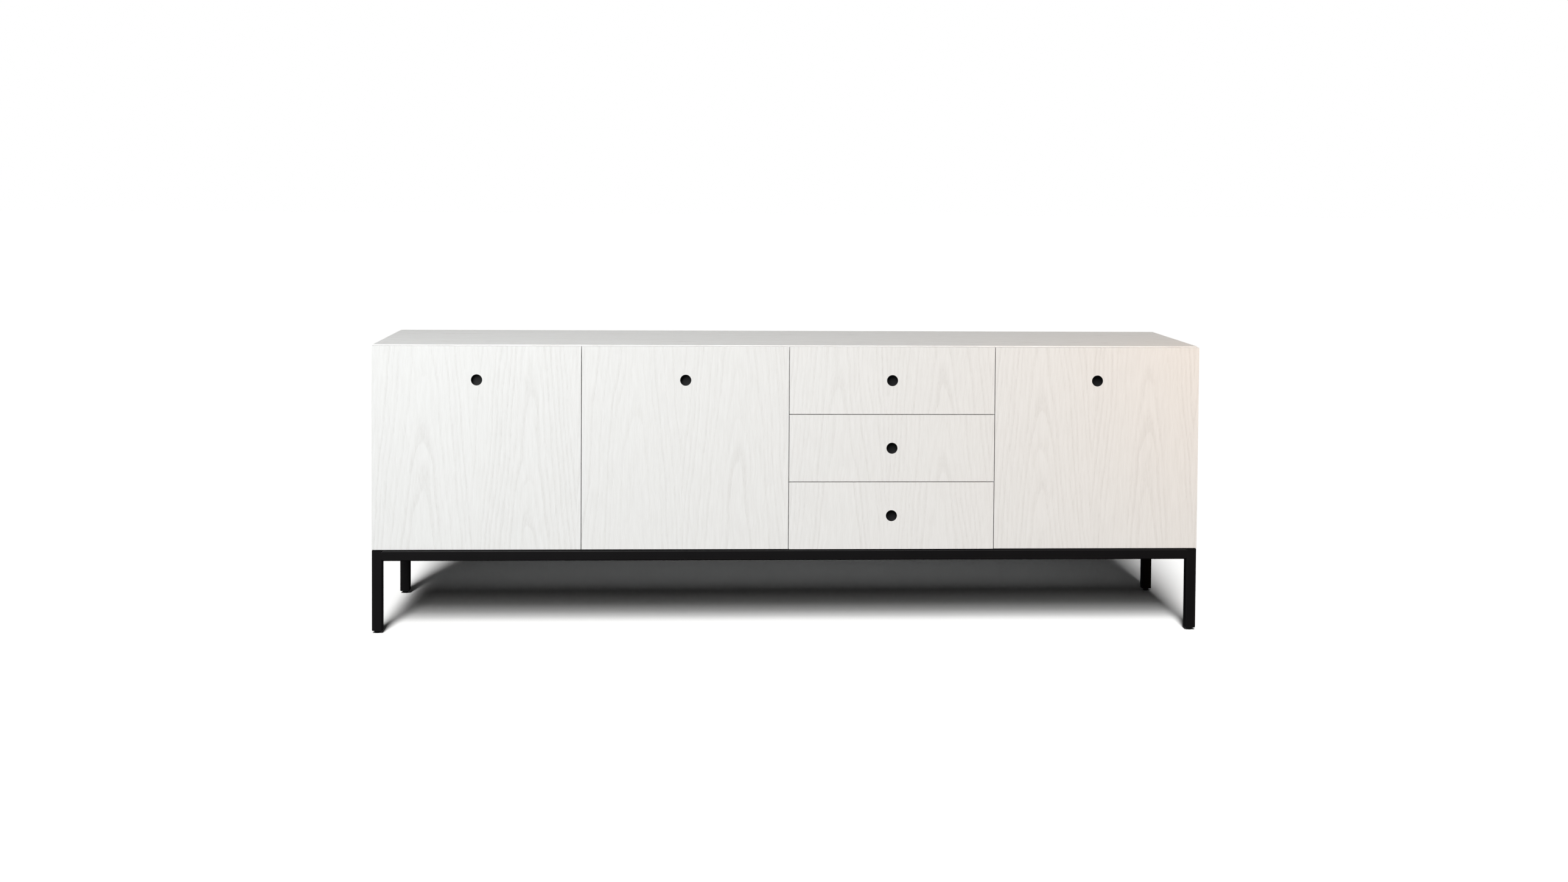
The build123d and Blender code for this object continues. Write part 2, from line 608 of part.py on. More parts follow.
# ---- build --------------------------------------------------------------
def build():
    os.makedirs("parts", exist_ok=True)

    wood_joints = dowels() + mitre_tongues()
    frame_screws = base_screws()
    rear_screws = back_screws()
    arm_screws = hinge_arm_screws()
    stud_screws = stay_stud_screws()
    slide_screws = runner_screws()
    pins = shelf_pins()
    arms = [hinge_arm(x) for number in FLAP_BAYS for x in hinge_places(number)]
    studs = [stay_stud(*place) for number in FLAP_BAYS for place in stay_places(number)]

    arm_slots = [hinge_arm_slot(x) for number in FLAP_BAYS for x in hinge_places(number)]
    into_boards = (wood_joints + frame_screws + rear_screws + arm_screws + stud_screws
                   + slide_screws + pins + arm_slots)
    for name, board in carcass_boards().items():
        save(name, [bored(board, into_boards)])
    save("shelves", shelves())
    save("shelf_pins", pins)
    save("wood_dowels", wood_joints)
    save("bumpers", bumpers())

    save("base_legs", tube_legs())
    save("base_long_rails", long_rails())
    save("base_short_rails", [bored(rail, frame_screws) for rail in short_rails()])
    save("foot_glides", foot_glides())
    save("cabinet_screws", frame_screws + rear_screws + arm_screws + stud_screws + slide_screws)

    save("hinge_arms", [bored(arm, arm_screws) for arm in arms])
    save("stay_studs", [bored(stud, stud_screws) for stud in studs])
    save("cabinet_runners", [bored(runner, slide_screws) for runner in cabinet_runners()])
    save("magnet_catches", [magnet_catch(number) for number in FLAP_BAYS])

    for number in FLAP_BAYS:
        places = stay_places(number)
        x = sum(front_span(number)) / 2
        hinge_pieces = flap_hinge_pieces(number)
        bracket_screws = [screw for place in places for screw in stay_bracket_screws(*place)]
        save(f"flap_{number}_panel", [flap_panel(number, hinge_pieces + bracket_screws)])
        save(f"flap_{number}_finger_cup", [finger_cup(x, FLAP_HOLE_Z)])
        save(f"flap_{number}_hinge_leaves", hinge_pieces)
        brackets = [bored(stay_bracket(*place), bracket_screws) for place in places]
        save(f"flap_{number}_stay_brackets", brackets + bracket_screws)
        save(f"flap_{number}_stay_rods", [stay_rod(*place) for place in places])
        save(f"flap_{number}_stay_swivels", [stay_swivel(*place) for place in places])
        save(f"flap_{number}_strike_plate", [strike_plate(number)])

    x0, x1 = front_span(DRAWER_BAY)
    for index in range(1, DRAWERS + 1):
        z0, z1 = drawer_front_span(index)
        front = block(x0, x1, FRONT_Y, FRONT_BACK_Y, z0, z1)
        screws = drawer_front_screws(index)
        x, z = (x0 + x1) / 2, (z0 + z1) / 2
        save(f"drawer_{index}_front", [bored(front - cup_pocket(x, z), screws)])
        save(f"drawer_{index}_finger_cup", [finger_cup(x, z)])
        save(f"drawer_{index}_box", [bored(board, screws) for board in drawer_box(index)])
        save(f"drawer_{index}_bottom", [drawer_bottom(index)])
        save(f"drawer_{index}_runners", drawer_runners(index) + screws)
        save(f"drawer_{index}_middle_runners", middle_runners(index))


build()
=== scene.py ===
"""Looks of a long white ash sideboard on a black steel frame.

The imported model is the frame: every panel, tube and fitting stays where it is, and gets its finish
here. Small pieces that the solids leave out are built in mesh code and ride on the bodies.
Metres, +Z up, the fronts face -Y and +X is to the right.
"""
from math import cos, radians, sin, tan, tau

import bmesh
import bpy
from mathutils import Matrix, Vector


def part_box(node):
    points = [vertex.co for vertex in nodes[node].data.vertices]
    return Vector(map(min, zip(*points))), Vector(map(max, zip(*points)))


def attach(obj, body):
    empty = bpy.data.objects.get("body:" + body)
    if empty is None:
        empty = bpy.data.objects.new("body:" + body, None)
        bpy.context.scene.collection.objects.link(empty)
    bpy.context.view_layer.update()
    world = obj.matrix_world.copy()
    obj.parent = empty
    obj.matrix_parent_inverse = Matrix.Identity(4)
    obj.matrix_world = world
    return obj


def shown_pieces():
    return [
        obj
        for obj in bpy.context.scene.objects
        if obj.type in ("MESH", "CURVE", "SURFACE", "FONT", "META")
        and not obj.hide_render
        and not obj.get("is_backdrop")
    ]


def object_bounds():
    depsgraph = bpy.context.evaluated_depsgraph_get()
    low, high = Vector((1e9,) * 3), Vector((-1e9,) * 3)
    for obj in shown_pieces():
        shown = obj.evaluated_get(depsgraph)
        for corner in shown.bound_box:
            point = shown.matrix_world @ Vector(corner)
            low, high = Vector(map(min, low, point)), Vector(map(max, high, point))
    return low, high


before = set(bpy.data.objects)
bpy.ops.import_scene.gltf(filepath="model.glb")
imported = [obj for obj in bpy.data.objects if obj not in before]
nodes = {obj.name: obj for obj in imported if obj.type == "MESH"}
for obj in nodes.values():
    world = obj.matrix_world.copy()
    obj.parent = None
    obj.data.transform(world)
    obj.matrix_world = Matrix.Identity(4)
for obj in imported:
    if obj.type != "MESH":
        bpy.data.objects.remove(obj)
cad_low, cad_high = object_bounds()

FLAPS = (1, 2, 4)
DRAWERS = (1, 2, 3)
MM = 0.001


# ---- node trees -----------------------------------------------------------------------------
class Tree:
    """Builds a node tree: values may be numbers, colours or the sockets of other nodes."""

    def __init__(self, owner):
        owner.use_nodes = True
        self.tree = owner.node_tree
        self.tree.nodes.clear()

    def add(self, kind, values=None, **settings):
        node = self.tree.nodes.new(kind)
        for name, value in settings.items():
            setattr(node, name, value)
        for name, value in (values or {}).items():
            socket = node.inputs[name]
            if isinstance(value, bpy.types.NodeSocket):
                self.tree.links.new(value, socket)
            else:
                socket.default_value = value
        return node

    def math(self, operation, a, b=0.0, clamp=False):
        node = self.add("ShaderNodeMath", {0: a, 1: b}, operation=operation, use_clamp=clamp)
        return node.outputs[0]

    def vector(self, x=0.0, y=0.0, z=0.0):
        return self.add("ShaderNodeCombineXYZ", {0: x, 1: y, 2: z}).outputs[0]

    def noise(self, vector, scale=1.0, detail=2.0, roughness=0.5):
        values = {"Vector": vector, "Scale": scale, "Detail": detail, "Roughness": roughness}
        return self.add("ShaderNodeTexNoise", values).outputs["Fac"]

    def random(self, number):
        node = self.add("ShaderNodeTexWhiteNoise", {"W": number}, noise_dimensions="1D")
        return node.outputs["Value"]

    def ramp(self, value, low, high, to_low=0.0, to_high=1.0, smooth=True):
        node = self.add("ShaderNodeMapRange", {0: value, 1: low, 2: high, 3: to_low, 4: to_high})
        node.interpolation_type = "SMOOTHSTEP" if smooth else "LINEAR"
        return node.outputs[0]

    def mix(self, factor, a, b):
        node = self.add("ShaderNodeMix", data_type="RGBA")
        for index, value in ((0, factor), (6, a), (7, b)):
            if isinstance(value, bpy.types.NodeSocket):
                self.tree.links.new(value, node.inputs[index])
            else:
                node.inputs[index].default_value = value
        return node.outputs[2]

    def position(self):
        """The point on the object, whole and split into x, y and z."""
        place = self.add("ShaderNodeTexCoord").outputs["Object"]
        return place, self.add("ShaderNodeSeparateXYZ", {0: place}).outputs

    def bump(self, height, distance, strength=1.0):
        values = {"Height": height, "Distance": distance, "Strength": strength}
        return self.add("ShaderNodeBump", values).outputs[0]

    def surface(self, colour, roughness, normal=None, **values):
        sockets = {"Base Color": colour, "Roughness": roughness}
        sockets.update({name.replace("_", " "): value for name, value in values.items()})
        if normal is not None:
            sockets["Normal"] = normal
        shader = self.add("ShaderNodeBsdfPrincipled", sockets)
        self.add("ShaderNodeOutputMaterial", {"Surface": shader.outputs[0]})


def material(name):
    made = bpy.data.materials.new(name)
    return made, Tree(made)


def rgb(r, g, b):
    return (r, g, b, 1.0)


# ---- white open-pore ash --------------------------------------------------------------------
LEAF = 0.250                 # one veneer leaf is half a module wide
HEART = 0.53                 # place of the cathedral figure across a leaf
RING = 0.0105                # mean distance between growth rings
PITH = 0.030                 # depth of the tree's heart behind the veneer
TAPER = 0.075                # how fast the rings climb along the grain, which draws the arches
ASH_WHITE = rgb(0.852, 0.855, 0.848)
ASH_GRAIN = rgb(0.640, 0.630, 0.610)
EARLY_SHADE = 0.15           # how far the earlywood, the pores and the fibres darken the white stain
PORE_SHADE = 0.20
FIBRE_SHADE = 0.60


def ash(name, across, along, depth, seed, leaf=LEAF, contrast=1.0):
    """White-stained ash veneer whose grain runs along one axis; across and depth are the others."""
    made, t = material(name)
    _, axes = t.position()
    u = t.math("ADD", axes["XYZ".index(across)], axes["XYZ".index(depth)])
    v = axes["XYZ".index(along)]

    # each leaf has its own heart, its own place in the tree and its own tone
    index = t.math("FLOOR", t.math("DIVIDE", u, leaf))
    key = t.math("ADD", t.math("MULTIPLY", index, 7.31), seed)
    shift = t.random(key)
    tone = t.random(t.math("ADD", key, 31.7))
    inside = t.math("SUBTRACT", t.math("DIVIDE", u, leaf), index)
    heart = t.math("ADD", HEART - 0.04, t.math("MULTIPLY", tone, 0.08))
    x = t.math("MULTIPLY", t.math("SUBTRACT", inside, heart), leaf)

    # slow wander of the rings, then the rings cut by the veneer plane
    place = t.vector(t.math("MULTIPLY", u, 9.0), t.math("MULTIPLY", v, 3.2), key)
    wander = t.math("MULTIPLY", t.math("SUBTRACT", t.noise(place, 1.0, 2.0), 0.5), 0.030)
    fine = t.vector(t.math("MULTIPLY", u, 55.0), t.math("MULTIPLY", v, 11.0), key)
    wobble = t.math("MULTIPLY", t.math("SUBTRACT", t.noise(fine, 1.0, 3.0), 0.5), 0.0045)
    flat = t.math("SQRT", t.math("ADD", t.math("MULTIPLY", x, x), PITH * PITH))
    climb = t.math("MULTIPLY", t.math("ADD", v, shift), TAPER)
    rings = t.math("ADD", t.math("ADD", flat, climb), t.math("ADD", wander, wobble))
    count = t.math("DIVIDE", rings, RING)
    phase = t.math("FRACT", count)
    year = t.random(t.math("ADD", t.math("FLOOR", count), key))

    # earlywood: a sharp edge, then a slow fade; some years are stronger than others
    edge = t.ramp(phase, 0.0, 0.10)
    fade = t.ramp(phase, 0.12, 0.75, 1.0, 0.0)
    early = t.math("MULTIPLY", t.math("MULTIPLY", edge, fade), t.ramp(year, 0.0, 1.0, 0.25, 1.0))

    # open pores: short dashes along the grain, dense in the earlywood
    dash = t.vector(t.math("MULTIPLY", u, 1500.0), t.math("MULTIPLY", v, 70.0), key)
    pore = t.ramp(t.noise(dash, 1.0, 1.0), 0.52, 0.66)
    pores = t.math("MULTIPLY", pore, t.ramp(early, 0.0, 0.7, 0.12, 1.0))

    # fine wavy streaks between the rings
    sway = t.noise(t.vector(t.math("MULTIPLY", u, 11.0), t.math("MULTIPLY", v, 15.0), key), 1.0, 2.0)
    bent = t.math("ADD", u, t.math("MULTIPLY", t.math("SUBTRACT", sway, 0.5), 0.016))
    streak = t.vector(t.math("MULTIPLY", bent, 250.0), t.math("MULTIPLY", v, 17.0), key)
    fibre = t.noise(streak, 1.0, 3.0, 0.62)

    shade = t.math("MULTIPLY", early, EARLY_SHADE * contrast)
    shade = t.math("ADD", shade, t.math("MULTIPLY", pores, PORE_SHADE * contrast))
    darker = t.math("MULTIPLY", t.math("SUBTRACT", fibre, 0.42), FIBRE_SHADE * contrast)
    shade = t.math("ADD", shade, darker)
    shade = t.math("ADD", shade, t.math("MULTIPLY", tone, 0.05), clamp=True)
    colour = t.mix(shade, ASH_WHITE, ASH_GRAIN)
    height = t.math("SUBTRACT", t.math("MULTIPLY", fibre, 0.25), pores)
    rough = t.ramp(pores, 0.0, 1.0, 0.46, 0.62)
    t.surface(colour, rough, t.bump(height, 0.12 * MM, 0.8))
    return made


def birch_plywood(name, along, thickness):
    """Lacquered birch: pale rotary-cut face, and the plies as stripes on the upper edges."""
    made, t = material(name)
    _, axes = t.position()
    u = axes["XYZ".index(thickness)]
    v = axes["XYZ".index(along)]
    face = t.vector(t.math("MULTIPLY", v, 6.0), t.math("MULTIPLY", axes[2], 90.0), 3.0)
    figure = t.noise(face, 1.0, 4.0, 0.6)
    ply = t.math("FRACT", t.math("DIVIDE", u, 3.0 * MM))
    stripe = t.ramp(t.math("ABSOLUTE", t.math("SUBTRACT", ply, 0.5)), 0.22, 0.28)
    normal = t.add("ShaderNodeNewGeometry").outputs["True Normal"]
    upward = t.math("ABSOLUTE", t.add("ShaderNodeSeparateXYZ", {0: normal}).outputs[2])
    edge = t.math("MULTIPLY", t.ramp(upward, 0.6, 0.9), stripe)
    wood = t.mix(figure, rgb(0.56, 0.42, 0.27), rgb(0.70, 0.56, 0.38))
    colour = t.mix(edge, wood, rgb(0.42, 0.27, 0.14))
    t.surface(colour, t.ramp(figure, 0.3, 0.7, 0.38, 0.5), t.bump(figure, 0.05 * MM))
    return made


def plywood_floor(name):
    """Lacquered birch plywood seen on its flat face."""
    made, t = material(name)
    _, axes = t.position()
    face = t.vector(t.math("MULTIPLY", axes[0], 5.0), t.math("MULTIPLY", axes[1], 70.0), 1.0)
    figure = t.noise(face, 1.0, 4.0, 0.6)
    colour = t.mix(figure, rgb(0.58, 0.44, 0.28), rgb(0.72, 0.58, 0.40))
    t.surface(colour, t.ramp(figure, 0.3, 0.7, 0.40, 0.52), t.bump(figure, 0.05 * MM))
    return made


# ---- metal, plastic -------------------------------------------------------------------------
def powder_coat():
    """Black fine-texture powder coat: a low pebble relief with a soft sheen."""
    made, t = material("black_powder_coat")
    place, _ = t.position()
    pebble = t.noise(place, 900.0, 2.0, 0.55)
    patch = t.noise(place, 14.0, 3.0)
    colour = t.mix(patch, rgb(0.0040, 0.0036, 0.0042), rgb(0.0068, 0.0062, 0.0066))
    t.surface(colour, t.ramp(pebble, 0.3, 0.7, 0.40, 0.56), t.bump(pebble, 0.10 * MM, 0.7),
              Specular_IOR_Level=0.16)
    return made


def zinc(name="zinc_plate", stretch=(40.0, 900.0, 40.0)):
    """Bright zinc plate with rolling marks."""
    made, t = material(name)
    place, axes = t.position()
    lines = t.vector(*[t.math("MULTIPLY", axis, size) for axis, size in zip(axes, stretch)])
    mark = t.noise(lines, 1.0, 3.0, 0.6)
    cloud = t.noise(place, 35.0, 3.0)
    colour = t.mix(cloud, rgb(0.54, 0.55, 0.57), rgb(0.70, 0.70, 0.69))
    t.surface(colour, t.ramp(mark, 0.3, 0.7, 0.22, 0.40), t.bump(mark, 0.02 * MM), Metallic=1.0)
    return made


def moulded(name, dark, light, rough_low, rough_high):
    """Moulded plastic with a spark-eroded texture."""
    made, t = material(name)
    place, _ = t.position()
    speck = t.noise(place, 1600.0, 2.0)
    cloud = t.noise(place, 60.0, 2.0)
    t.surface(t.mix(cloud, dark, light), t.ramp(speck, 0.3, 0.7, rough_low, rough_high),
              t.bump(speck, 0.04 * MM, 0.6))
    return made


# ---- finishes for the model's own nodes -----------------------------------------------------
def dress(name, finish, edge=0.0, segments=3):
    """Give a node its finish and, where wanted, softened edges."""
    node = nodes[name]
    node.data.materials.clear()
    node.data.materials.append(finish)
    for polygon in node.data.polygons:
        polygon.material_index = 0
    if edge:
        weld = node.modifiers.new("weld", "WELD")
        weld.merge_threshold = 0.01 * MM
        bevel = node.modifiers.new("soft_edge", "BEVEL")
        bevel.width = edge
        bevel.segments = segments
        bevel.limit_method = "ANGLE"
        bevel.angle_limit = radians(40)
        bevel.harden_normals = True


def finish_nodes(black, steel):
    cup = moulded("black_plastic", rgb(0.006, 0.006, 0.007), rgb(0.012, 0.012, 0.013), 0.30, 0.50)
    grey = moulded("grey_plastic", rgb(0.50, 0.50, 0.50), rgb(0.60, 0.60, 0.60), 0.35, 0.50)
    clear = moulded("bumper_gel", rgb(0.70, 0.70, 0.69), rgb(0.80, 0.80, 0.79), 0.15, 0.25)

    for number in FLAPS:
        dress(f"flap_{number}_panel", ash(f"ash_flap_{number}", "X", "Z", "Y", 10.0 * number), 0.6 * MM)
        for part in ("hinge_leaves", "stay_brackets", "stay_rods", "strike_plate"):
            dress(f"flap_{number}_{part}", steel, 0.15 * MM, 2)
        dress(f"flap_{number}_stay_swivels", grey, 0.3 * MM, 2)
        dress(f"flap_{number}_finger_cup", cup)
    side_ply = birch_plywood("birch_box", "Y", "X")
    floor_ply = plywood_floor("birch_floor")
    for number in DRAWERS:
        seed = 100.0 + 17.0 * number
        dress(f"drawer_{number}_front", ash(f"ash_drawer_{number}", "X", "Z", "Y", seed), 0.6 * MM)
        dress(f"drawer_{number}_box", side_ply, 0.4 * MM)
        dress(f"drawer_{number}_bottom", floor_ply)
        dress(f"drawer_{number}_runners", steel, 0.15 * MM, 2)
        dress(f"drawer_{number}_middle_runners", steel, 0.15 * MM, 2)
        dress(f"drawer_{number}_finger_cup", cup)

    level = ash("ash_top", "Y", "X", "Z", 211.0, leaf=0.23, contrast=1.5)
    dress("top_panel", level, 0.5 * MM)
    dress("bottom_panel", ash("ash_bottom", "Y", "X", "Z", 223.0, leaf=0.23), 0.5 * MM)
    dress("shelves", ash("ash_shelves", "Y", "X", "Z", 237.0, leaf=0.2), 0.5 * MM)
    upright = ash("ash_upright", "Y", "Z", "X", 251.0, leaf=0.23)
    for name in ("left_side", "right_side", "left_divider", "centre_divider", "right_divider"):
        dress(name, upright, 0.5 * MM)
    dress("back_panel", ash("ash_back", "X", "Z", "Y", 263.0, leaf=0.25), 0.5 * MM)
    dress("wood_dowels", floor_ply)

    for name in ("base_legs", "base_long_rails", "base_short_rails"):
        dress(name, black)
    dress("foot_glides", cup, 0.3 * MM, 2)
    for name in ("shelf_pins", "cabinet_screws", "hinge_arms", "stay_studs", "cabinet_runners"):
        dress(name, steel, 0.15 * MM, 2)
    dress("magnet_catches", grey, 0.3 * MM, 2)
    dress("bumpers", clear, 0.3 * MM, 2)


# ---- small pieces that the solids leave out --------------------------------------------------
TUBE = 25 * MM               # outside width of the square tube, and the radius of its edges
TUBE_CORNER = 3 * MM
CROSS_BAR_X = 330 * MM       # the cross bars under the cabinet, to either side of the middle
DOME = 0.5 * MM              # height of a screw's dome
HEX_RATIO = 0.5              # width of its hex socket beside the head's
SCREW_HEAD = 3.5 * MM        # radius of the heads in the fittings on a flap
HINGE_SCREW_INSET = 9 * MM   # from the outer edge of a hinge plate, and up from the leaves' lower end
HINGE_SCREW_RISES = (20 * MM, 32 * MM)
STAY_SCREW_INSET = 14.5 * MM    # from the outer edge of a stay bracket, and up or down from its middle
STAY_SCREW_LIFT = 13 * MM
BALL = 1.35 * MM             # radius of the runners' balls
BALL_PITCH = 18.5 * MM
BALLS = 10
SKIN = 3.6 * MM              # from the middle channels' outer face to the wall that carries the runner
OUTER_ROW = (6.6 * MM, 19.85 * MM)    # from that wall, and up or down from the runner's middle
INNER_ROW = (8.8 * MM, 15.7 * MM)
CAGE_HALF_WIDTH = 1.9 * MM
CAGE_HALF_HEIGHT = 0.2 * MM


def add_piece(name, bm, finish, body, smooth=False):
    """A mesh that moves with a body of the model."""
    mesh = bpy.data.meshes.new(name)
    bmesh.ops.recalc_face_normals(bm, faces=bm.faces)
    bm.to_mesh(mesh)
    bm.free()
    if smooth:
        mesh.shade_smooth()
    mesh.materials.append(finish)
    piece = bpy.data.objects.new(name, mesh)
    bpy.context.scene.collection.objects.link(piece)
    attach(piece, body)


def add_prism(bm, rings):
    """A closed solid through rings of points, capped at both ends."""
    loops = [[bm.verts.new(point) for point in ring] for ring in rings]
    for lower, upper in zip(loops, loops[1:]):
        for i in range(len(lower)):
            j = (i + 1) % len(lower)
            bm.faces.new((lower[i], lower[j], upper[j], upper[i]))
    bm.faces.new(loops[0])
    bm.faces.new(loops[-1])


def groove_fill(bm, corner, out, along, run, length):
    """Weld metal between a rounded tube edge and the square end of the tube that butts against it.

    corner is where the outline would be sharp, out points back from the face into the tube, along
    points over the rounded edge, and the bead runs along its third direction, tapering at its ends.
    """
    rings = []
    for share, size in ((0.0, 0.55), (0.06, 0.9), (0.94, 0.9), (1.0, 0.55)):
        reach = TUBE_CORNER * size
        start = corner + run * (length * (share - 0.5))
        sink = out * (TUBE_CORNER - reach) * 0.3
        ring = [start + sink]
        for step in range(6):
            turn = radians(90) * step / 5
            bend = along * (1 - sin(turn)) + out * (1 - cos(turn))
            ring.append(start + sink + bend * reach)
        rings.append(ring)
    add_prism(bm, rings)


def weld_beads(black):
    """Ground weld beads at every joint of the steel frame."""
    low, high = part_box("base_long_rails")
    leg_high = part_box("base_legs")[1]
    middle_z = (low.z + high.z) / 2
    x_axis, y_axis, z_axis = Vector((1, 0, 0)), Vector((0, 1, 0)), Vector((0, 0, 1))
    bm = bmesh.new()
    length = TUBE - 2 * TUBE_CORNER
    for side in (-1, 1):
        for end in (-1, 1):
            x = side * (leg_high.x - TUBE)
            y = end * (leg_high.y - TUBE)
            for face, inward in ((end * leg_high.y, -end), (y, end)):
                corner = Vector((x, face, middle_z))
                groove_fill(bm, corner, inward * y_axis, side * x_axis, z_axis, length)
            for face, inward in ((side * leg_high.x, -side), (x, side)):
                corner = Vector((face, y, middle_z))
                groove_fill(bm, corner, inward * x_axis, end * y_axis, z_axis, length)
            for face, inward in ((low.z, 1), (high.z, -1)):
                corner = Vector((side * CROSS_BAR_X, y, face))
                groove_fill(bm, corner, inward * z_axis, end * y_axis, x_axis, length)
    add_piece("weld_beads", bm, black, "root")


def islands(name):
    """The separate solids of a node, each as a list of its corner points."""
    bm = bmesh.new()
    bm.from_mesh(nodes[name].data)
    bmesh.ops.remove_doubles(bm, verts=bm.verts, dist=0.01 * MM)
    reached = set()
    found = []
    for first in bm.verts:
        if first in reached:
            continue
        reached.add(first)
        front = [first]
        island = []
        while front:
            vert = front.pop()
            island.append(vert.co.copy())
            for edge in vert.link_edges:
                other = edge.other_vert(vert)
                if other not in reached:
                    reached.add(other)
                    front.append(other)
        found.append(island)
    bm.free()
    return found


def screw_head(points):
    """Centre, outward direction and radius of a screw's head, or None where a solid isn't a screw.

    A screw is slender and round, and its head's end is clearly wider than its tip.
    """
    low = Vector([min(point[i] for point in points) for i in range(3)])
    high = Vector([max(point[i] for point in points) for i in range(3)])
    size = high - low
    axis = max(range(3), key=lambda i: size[i])
    first, second = [i for i in range(3) if i != axis]
    radius = min(size) / 2
    if abs(size[first] - size[second]) > 0.3 * MM or size[axis] < 3 * radius or radius > 8 * MM:
        return None
    middle = (low + high) / 2
    widths = []
    for end in (low[axis], high[axis]):
        rim = [point for point in points if abs(point[axis] - end) < 0.01 * MM]
        widths.append(max((point - middle)[first] for point in rim))
    if max(widths) < 1.5 * min(widths):
        return None
    at_high_end = widths[1] > widths[0]
    outward = Vector((0, 0, 0))
    outward[axis] = 1 if at_high_end else -1
    centre = middle.copy()
    centre[axis] = high[axis] if at_high_end else low[axis]
    return centre, outward, radius


def screw_heads(name):
    """The heads of all the screws among a node's solids."""
    found = [screw_head(points) for points in islands(name)]
    return [head for head in found if head]


def add_domed_head(bm, centre, outward, radius):
    """Domed cap with a hex socket, on the flat head of a screw."""
    turn = outward.to_track_quat("Z", "X").to_matrix()
    count = 24
    socket = radius * HEX_RATIO

    def ring(size, height, hexagon=False):
        points = []
        for i in range(count):
            angle = tau * i / count
            reach = size
            if hexagon:
                reach = size * cos(radians(30)) / cos(angle % radians(60) - radians(30))
            points.append(centre + turn @ Vector((reach * cos(angle), reach * sin(angle), height)))
        return points

    profile = [ring(radius, 0.0), ring(radius * 0.97, 0.35 * DOME), ring(radius * 0.80, 0.80 * DOME),
               ring(socket * 1.12, DOME), ring(socket, DOME * 0.9, True),
               ring(socket * 0.97, DOME * 0.05, True)]
    loops = [[bm.verts.new(point) for point in points] for points in profile]
    for lower, upper in zip(loops, loops[1:]):
        for i in range(count):
            j = (i + 1) % count
            bm.faces.new((lower[i], lower[j], upper[j], upper[i]))
    bm.faces.new(loops[-1])


def domed_heads(name, heads, body, steel):
    """One piece with a domed cap on each of the heads."""
    bm = bmesh.new()
    for head in heads:
        add_domed_head(bm, *head)
    add_piece(name, bm, steel, body)


def flap_screw_heads(number):
    """Heads of the screws in a flap's hinge plates and stay brackets, placed from those nodes' boxes."""
    leaf_low, leaf_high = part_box(f"flap_{number}_hinge_leaves")
    plate_low, plate_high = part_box(f"flap_{number}_stay_brackets")
    middle = (plate_low.z + plate_high.z) / 2
    places = []
    for x in (leaf_low.x + HINGE_SCREW_INSET, leaf_high.x - HINGE_SCREW_INSET):
        places += [(x, leaf_low.z + rise) for rise in HINGE_SCREW_RISES]
    for x in (plate_low.x + STAY_SCREW_INSET, plate_high.x - STAY_SCREW_INSET):
        places += [(x, middle - STAY_SCREW_LIFT), (x, middle + STAY_SCREW_LIFT)]
    return [(Vector((x, leaf_high.y, z)), Vector((0, 1, 0)), SCREW_HEAD) for x, z in places]


def add_ball_row(balls, cages, x, start, z):
    """A row of balls along a runner, and the strip that holds them, tapered at its ends."""
    for step in range(BALLS):
        place = Matrix.Translation((x, start + step * BALL_PITCH, z))
        bmesh.ops.create_icosphere(balls, subdivisions=2, radius=BALL, matrix=place)
    last = start + (BALLS - 1) * BALL_PITCH
    ends = (start - 4 * MM, start - 3 * MM, last + 3 * MM, last + 4 * MM)
    rings = []
    for y, size in zip(ends, (0.7, 1.0, 1.0, 0.7)):
        reach = CAGE_HALF_WIDTH * size
        rings.append([Vector((x + a * reach, y, z + b * CAGE_HALF_HEIGHT))
                      for a, b in ((-1, -1), (1, -1), (1, 1), (-1, 1))])
    add_prism(cages, rings)


def ball_rows(number, steel, cage_steel):
    """Balls in their cages between the three channels of both runners of a drawer."""
    low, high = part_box(f"drawer_{number}_middle_runners")
    middle = (low + high) / 2
    balls, cages = bmesh.new(), bmesh.new()
    for side in (-1, 1):
        wall = middle.x + side * ((high.x - low.x) / 2 + SKIN)
        for (inset, lift), start in ((OUTER_ROW, middle.y + 8 * MM), (INNER_ROW, low.y + 10 * MM)):
            for z in (middle.z - lift, middle.z + lift):
                add_ball_row(balls, cages, wall - side * inset, start, z)
    body = f"drawer_{number}_middle"
    add_piece(f"drawer_{number}_balls", balls, steel, body, smooth=True)
    add_piece(f"drawer_{number}_ball_cages", cages, cage_steel, body)


def build_small_pieces(black, steel):
    """Everything that the solids leave out, each piece on the body that it moves with."""
    weld_beads(black)
    domed_heads("cabinet_screw_heads", screw_heads("cabinet_screws"), "root", steel)
    cage_steel = zinc("cage_steel", (200.0, 40.0, 200.0))
    for number in FLAPS:
        domed_heads(f"flap_{number}_screw_heads", flap_screw_heads(number), f"flap_{number}", steel)
    for number in DRAWERS:
        heads = screw_heads(f"drawer_{number}_runners")
        domed_heads(f"drawer_{number}_screw_heads", heads, f"drawer_{number}", steel)
        ball_rows(number, steel, cage_steel)


# ---- camera, light and floor ----------------------------------------------------------------
CAMERA_X = -0.240            # seen from just left of the middle
CAMERA_FROM_FRONT = 4.654    # metres in front of the fronts
CAMERA_HEIGHT = 1.089
CAMERA_YAW = radians(2.766)
CAMERA_PITCH = radians(-2.077)
CAMERA_ROLL = radians(0.384)
LENS = 44.455                # focal length in millimetres on a 36 mm wide sensor
RISE = -0.12                 # lens shift that keeps the uprights nearly parallel


